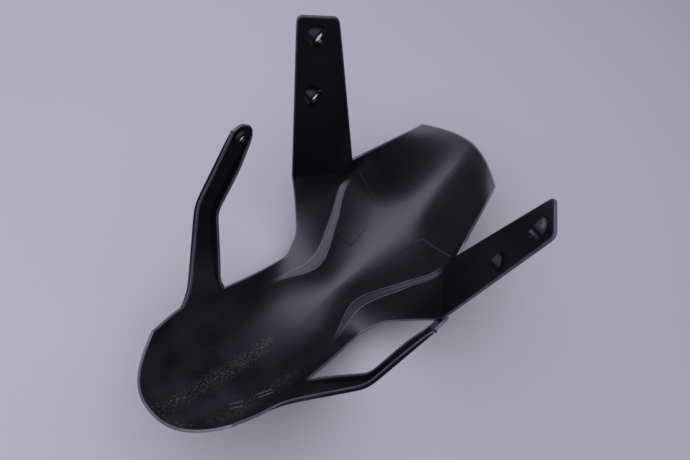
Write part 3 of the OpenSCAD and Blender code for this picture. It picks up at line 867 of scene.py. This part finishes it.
SCRATCHES = (
    Mark((57.0, 50.0), (65.1, 27.9), pale=0.0),
    Mark((65.1, 27.9), (95.4, 30.7), pale=0.0),
    Mark((69.8, -26.3), (127.6, -32.6), pale=0.0),
    Mark((130.1, -33.7), (138.7, -40.8), pale=0.18),
    Mark((138.7, -40.8), (134.8, -62.7), pale=0.18),
    Mark((134.8, -62.7), (129.5, -87.9), pale=0.18),
    Mark((130.5, 85.8), (133.4, 47.4), pale=0.08),
    Mark((95.0, -149.5), (101.0, -146.5), pale=0.22, width=4.0),
    Mark((-198.9, -38.9), (-186.2, -45.2)),
    Mark((-200.8, -44.0), (-189.9, -50.8)),
    Mark((-169.3, -48.4), (-152.7, -55.3)),
    Mark((-170.1, -53.4), (-154.6, -59.5)),
)


GRIME = (
    Mark((-252.0, -4.0), (-110.0, -1.0), width=13.0),
    Mark((-222.0, -50.0), (-125.0, -58.0), width=13.0),
    Mark((-262.0, 0.0), (-235.0, -58.0), width=10.0),
)


@dataclass(frozen=True)
class MouldedPlastic:
    """Unpainted black polypropylene out of a lightly grained mould.

    The mould's grain spreads every reflection into a wide grey sheen. The rim is painted
    a pale grey, partly as wear from handling and partly as a painted highlight where its
    rounded lip catches the light, and the lines of the ribs carry a painted highlight in
    the same grey. Road dirt has dried in the trough, and a film of dust takes the gloss
    off the rear half.
    """

    name: str = "black_moulded_polypropylene"
    deep: str = "#060607"
    pale: str = "#0c0d10"
    # pale grey of the scratches, of the rim (part wear, part painted highlight) and of the painted highlight
    # on the rib lines
    wear_and_highlight: str = "#666a73"
    dirt: str = "#5f5b54"
    film: str = "#323234"
    ior: float = 1.49
    roughness: float = 0.34
    film_roughness: float = 0.3
    dirt_roughness: float = 0.3
    gloss: float = 0.5
    cut_gloss: float = 0.15
    # the flat arms and stays have a duller face than the trough
    dull_share: float = 0.3
    dull_mm: tuple[float, float] = (92.0, 112.0)
    # true grain is about 0.3 mm, drawn coarser so that it shows
    grain_mm: float = 0.9
    grain_height_mm: float = 0.1
    grain_strength: float = 0.14
    cloud_mm: float = 45.0
    speck_mm: float = 1.7
    speck_range: tuple[float, float] = (0.56, 0.66)
    speck_most: float = 0.6
    film_mm: tuple[float, float] = (-80.0, -200.0)
    film_range: tuple[float, float] = (0.35, 0.65)
    film_most: float = 0.25
    scratch_soft: float = 0.35
    grime_soft: float = 0.9
    # patches that break up the pale rim and the painted highlight on the rib lines
    edge_patch_mm: float = 14.0
    edge_patch_range: tuple[float, float] = (0.3, 0.6)
    edge_patch_least: float = 0.6
    # band along the rim painted pale grey, part wear and part painted highlight
    rim_mm: tuple[float, float] = (2.4, 1.5)
    rim_most: float = 0.45
    # width of the painted highlight on the ribs' lines, as shares of a step of the shell's grid
    line_range: tuple[float, float] = (0.07, 0.02)
    line_most: float = 0.55
    facing_up: float = 0.05

    def material(self) -> bpy.types.Material:
        """Builds the material from nodes."""
        material = bpy.data.materials.new(self.name)
        material.use_nodes = True
        tree = material.node_tree
        tree.nodes.clear()
        place = add(tree, "TexCoord", out="Object")
        cloud = self._noise(tree, place, self.cloud_mm, 5.0)
        inside = self._inside(tree)
        film = self._film(tree, place, cloud, inside)
        dirt = self._dirt(tree, place, inside)
        marks = self._scratches(tree, place, inside, cut=False)
        cuts = self._scratches(tree, place, inside, cut=True)
        # pale rim, part wear and part painted highlight, and painted highlight on the rib lines
        wear_and_highlight = self._wear_and_painted_highlight(tree, place)
        colour = add(tree, "Mix", {"data_type": "RGBA", 6: srgb(self.deep), 7: srgb(self.pale)},
                     {0: cloud}, 2)
        layers = ((self.film, film), (self.dirt, dirt), (self.wear_and_highlight, marks), (self.wear_and_highlight, wear_and_highlight))
        for code, share in layers:
            colour = add(tree, "Mix", {"data_type": "RGBA", 7: srgb(code)}, {0: share, 6: colour}, 2)
        dull = add(tree, "Math", {"operation": "MULTIPLY_ADD", 1: self.film_roughness, 2: self.roughness},
                   {0: film})
        rough = add(tree, "Math", {"operation": "MULTIPLY_ADD", 1: self.dirt_roughness}, {0: dirt, 2: dull})
        grain = self._noise(tree, place, self.grain_mm, 3.0)
        bump = add(tree, "Bump", {"Strength": self.grain_strength, "Distance": self.grain_height_mm * MM},
                   {"Height": grain}, "Normal")
        shader = add(tree, "BsdfPrincipled", {"IOR": self.ior},
                     {"Base Color": colour, "Roughness": rough, "Normal": bump,
                      "Specular IOR Level": self._gloss(tree, place, cuts)})
        add(tree, "OutputMaterial", {}, {"Surface": shader})
        return material

    def _noise(self, tree: bpy.types.NodeTree, place: bpy.types.NodeSocket, size_mm: float,
               detail: float) -> bpy.types.NodeSocket:
        """Returns soft noise whose patches have a size in millimetres."""
        return add(tree, "TexNoise", {"Scale": 1 / (size_mm * MM), "Detail": detail},
                   {"Vector": place}, "Fac")

    def _inside(self, tree: bpy.types.NodeTree) -> bpy.types.NodeSocket:
        """Returns one where the surface faces up, as the whole inside does."""
        normal = add(tree, "NewGeometry", out="Normal")
        height = add(tree, "SeparateXYZ", {}, {0: normal}, "Z")
        return add(tree, "Math", {"operation": "GREATER_THAN", 1: self.facing_up}, {0: height})

    def _streak(self, tree: bpy.types.NodeTree, place: bpy.types.NodeSocket, mark: Mark,
                soft: float, most: float) -> bpy.types.NodeSocket:
        """Draws a straight streak seen from above.

        Args:
            tree: Node tree to draw in.
            place: Object coordinates, in metres.
            mark: Ends and width of the streak.
            soft: Share of the width over which its sides fade.
            most: Strength in the middle of the streak.

        Returns:
            The strength, falling to zero away from the streak.
        """
        start, way = Vector(mark.start) * MM, (Vector(mark.end) - Vector(mark.start)) * MM
        flat = add(tree, "VectorMath", {"operation": "MULTIPLY", 1: (1, 1, 0)}, {0: place})
        off = add(tree, "VectorMath", {"operation": "SUBTRACT", 1: (*start, 0)}, {0: flat})
        along = add(tree, "VectorMath", {"operation": "DOT_PRODUCT", 1: (*(way / way.length_squared), 0)},
                    {0: off}, "Value")
        held = add(tree, "Clamp", {}, {0: along})
        foot = add(tree, "VectorMath", {"operation": "SCALE", 0: (*way, 0)}, {"Scale": held})
        away = add(tree, "VectorMath", {"operation": "DISTANCE"}, {0: off, 1: foot}, "Value")
        half = mark.width / 2 * MM
        ends = {"From Min": half * (1 + soft), "From Max": half * (1 - soft), "To Max": most}
        return add(tree, "MapRange", ends, {"Value": away})

    def _either(self, tree: bpy.types.NodeTree, masks: list[bpy.types.NodeSocket],
                within: bpy.types.NodeSocket) -> bpy.types.NodeSocket:
        """Joins masks to one that shows any of them, within another."""
        joined = masks[0]
        for mask in masks[1:]:
            joined = add(tree, "Math", {"operation": "MAXIMUM"}, {0: joined, 1: mask})
        return add(tree, "Math", {"operation": "MULTIPLY"}, {0: joined, 1: within})

    def _scratches(self, tree: bpy.types.NodeTree, place: bpy.types.NodeSocket,
                   inside: bpy.types.NodeSocket, cut: bool) -> bpy.types.NodeSocket:
        """Returns the dull cuts, or the pale scratches."""
        marks = [mark for mark in SCRATCHES if cut is (mark.pale == 0)]
        lines = [self._streak(tree, place, mark, self.scratch_soft, 1.0 if cut else mark.pale)
                 for mark in marks]
        return self._either(tree, lines, inside)

    def _gloss(self, tree: bpy.types.NodeTree, place: bpy.types.NodeSocket,
               cuts: bpy.types.NodeSocket) -> bpy.types.NodeSocket:
        """Returns the gloss, lost in the cuts and low on the arms and stays."""
        lost = self.cut_gloss - self.gloss
        gloss = add(tree, "Math", {"operation": "MULTIPLY_ADD", 1: lost, 2: self.gloss}, {0: cuts})
        across = add(tree, "SeparateXYZ", {}, {0: place}, "Y")
        beside = add(tree, "Math", {"operation": "ABSOLUTE"}, {0: across})
        near, far = self.dull_mm
        dim = add(tree, "MapRange", {"From Min": near * MM, "From Max": far * MM, "To Min": 1.0,
                                     "To Max": self.dull_share}, {"Value": beside})
        return add(tree, "Math", {"operation": "MULTIPLY"}, {0: gloss, 1: dim})

    def _film(self, tree: bpy.types.NodeTree, place: bpy.types.NodeSocket, cloud: bpy.types.NodeSocket,
              inside: bpy.types.NodeSocket) -> bpy.types.NodeSocket:
        """Returns the film of dust, thicker towards the rear end and in soft patches."""
        along = add(tree, "SeparateXYZ", {}, {0: place}, "X")
        start, full = self.film_mm
        rear = add(tree, "MapRange", {"From Min": start * MM, "From Max": full * MM}, {"Value": along})
        thin, thick = self.film_range
        patchy = add(tree, "MapRange", {"From Min": thin, "From Max": thick, "To Max": self.film_most},
                     {"Value": cloud})
        there = add(tree, "Math", {"operation": "MULTIPLY"}, {0: rear, 1: patchy})
        return add(tree, "Math", {"operation": "MULTIPLY"}, {0: there, 1: inside})

    def _dirt(self, tree: bpy.types.NodeTree, place: bpy.types.NodeSocket,
              inside: bpy.types.NodeSocket) -> bpy.types.NodeSocket:
        """Returns the specks of dried dirt along the streaks of grime."""
        streaks = [self._streak(tree, place, mark, self.grime_soft, 1.0) for mark in GRIME]
        few, full = self.speck_range
        shown = add(tree, "MapRange", {"From Min": few, "From Max": full, "To Max": self.speck_most},
                    {"Value": self._noise(tree, place, self.speck_mm, 2.0)})
        within = add(tree, "Math", {"operation": "MULTIPLY"}, {0: shown, 1: inside})
        return self._either(tree, streaks, within)

    def _wear_and_painted_highlight(self, tree: bpy.types.NodeTree, place: bpy.types.NodeSocket) -> bpy.types.NodeSocket:
        """Returns the pale rim, part wear and part painted highlight, and the painted highlight along the
        lines of the ribs.
        """
        least, most = self.edge_patch_range
        patchy = add(tree, "MapRange", {"From Min": least, "From Max": most, "To Min": self.edge_patch_least},
                     {"Value": self._noise(tree, place, self.edge_patch_mm, 4.0)})
        outer, inner = self.rim_mm
        # pale rim band: part wear, part painted highlight where the rounded lip catches the light
        rim = add(tree, "MapRange", {"From Min": outer, "From Max": inner, "To Max": self.rim_most},
                  {"Value": add(tree, "Attribute", {"attribute_name": "rim_mm"}, out="Fac")})
        # the stored value is zero on the rib's inner line and one on its outer line; a painted highlight
        # goes along both lines
        off = add(tree, "Attribute", {"attribute_name": "rib_across"}, out="Fac")
        for _ in range(2):
            off = add(tree, "Math", {"operation": "SUBTRACT", 1: 0.5}, {0: off})
            off = add(tree, "Math", {"operation": "ABSOLUTE"}, {0: off})
        # painted highlight along both lines of each rib
        outer, inner = self.line_range
        line = add(tree, "MapRange", {"From Min": outer, "From Max": inner, "To Max": self.line_most},
                   {"Value": off})
        pressed = add(tree, "Attribute", {"attribute_name": "rib_pressed"}, out="Fac")
        line = add(tree, "Math", {"operation": "MULTIPLY"}, {0: line, 1: pressed})
        return self._either(tree, [rim, line], patchy)


@dataclass(frozen=True)
class Studio:
    """Floor, lamps and camera."""

    image: tuple[int, int] = (690, 460)
    focal_px: float = 557.0
    sensor_mm: float = 36.0
    near_clip: float = 0.01
    eye: tuple[float, float, float] = (-0.20204, -0.15766, 0.74811)
    view: tuple[float, float, float] = (0.34311, 0.25822, -0.90310)
    up: tuple[float, float, float] = (0.60655, 0.67322, 0.42293)
    floor_half: float = 3.0
    floor_colour: str = "#969192"
    floor_roughness: float = 0.9
    floor_gloss: float = 0.2
    lamp_colour: str = "#e6ecff"
    lamp_at: tuple[float, float, float] = (-0.4, 0.27, 1.5)
    lamp_size: tuple[float, float] = (3.3, 2.8)
    lamp_power: float = 92.0
    room_light: float = 0.03

    def build(self) -> None:
        """Sets up everything round the part."""
        self._floor()
        self._lamps()
        self._camera()
        bpy.context.scene.view_settings.view_transform = "Standard"

    def _floor(self) -> None:
        """Lays a plain pale floor."""
        bm = bmesh.new()
        bmesh.ops.create_grid(bm, x_segments=1, y_segments=1, size=self.floor_half)
        floor = make_object("floor", bm)
        material = bpy.data.materials.new("pale_floor")
        material.use_nodes = True
        shader = material.node_tree.nodes["Principled BSDF"]
        shader.inputs["Base Color"].default_value = srgb(self.floor_colour)
        shader.inputs["Roughness"].default_value = self.floor_roughness
        shader.inputs["Specular IOR Level"].default_value = self.floor_gloss
        floor.data.materials.append(material)

    def _lamps(self) -> None:
        """Hangs one very wide soft lamp overhead in a dim room."""
        world = bpy.data.worlds.new("room")
        bpy.context.scene.world = world
        world.use_nodes = True
        back = world.node_tree.nodes["Background"]
        back.inputs["Color"].default_value = srgb(self.lamp_colour)
        back.inputs["Strength"].default_value = self.room_light
        lamp = bpy.data.lights.new("ceiling", "AREA")
        lamp.shape = "RECTANGLE"
        lamp.size, lamp.size_y = self.lamp_size
        lamp.energy = self.lamp_power
        lamp.color = srgb(self.lamp_colour)[:3]
        holder = bpy.data.objects.new("ceiling", lamp)
        holder.location = self.lamp_at
        bpy.context.scene.collection.objects.link(holder)

    def _camera(self) -> None:
        """Puts the camera where the photograph was taken from."""
        data = bpy.data.cameras.new("camera")
        data.sensor_width = self.sensor_mm
        data.lens = self.focal_px / self.image[0] * self.sensor_mm
        data.clip_start = self.near_clip
        camera = bpy.data.objects.new("camera", data)
        back, up = -Vector(self.view).normalized(), Vector(self.up).normalized()
        right = up.cross(back).normalized()
        turn = Matrix((right, back.cross(right), back)).transposed()
        camera.matrix_world = Matrix.Translation(self.eye) @ turn.to_4x4()
        bpy.context.scene.collection.objects.link(camera)
        bpy.context.scene.camera = camera


def main() -> None:
    """Builds the part and its surroundings."""
    logging.basicConfig(level=logging.INFO, format="%(message)s")
    trough, stay = TroughForm(), StayForm()
    moulding = Moulding(trough, stay)
    piece = moulding.build()
    LOG.info("moulding: %d faces", len(piece.data.polygons))
    Bosses(trough, stay).fit(piece)
    moulding.mark(piece)
    piece.data.polygons.foreach_set("use_smooth", [True] * len(piece.data.polygons))
    piece.data.set_sharp_from_angle(angle=math.radians(38))
    piece.data.materials.clear()
    piece.data.materials.append(MouldedPlastic().material())
    piece.name = "fender_moulding"
    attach(piece, BODY)
    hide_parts(NODE)
    LOG.info("fender: %d faces with bosses", len(piece.data.polygons))
    Studio().build()


if __name__ == "__main__":
    main()
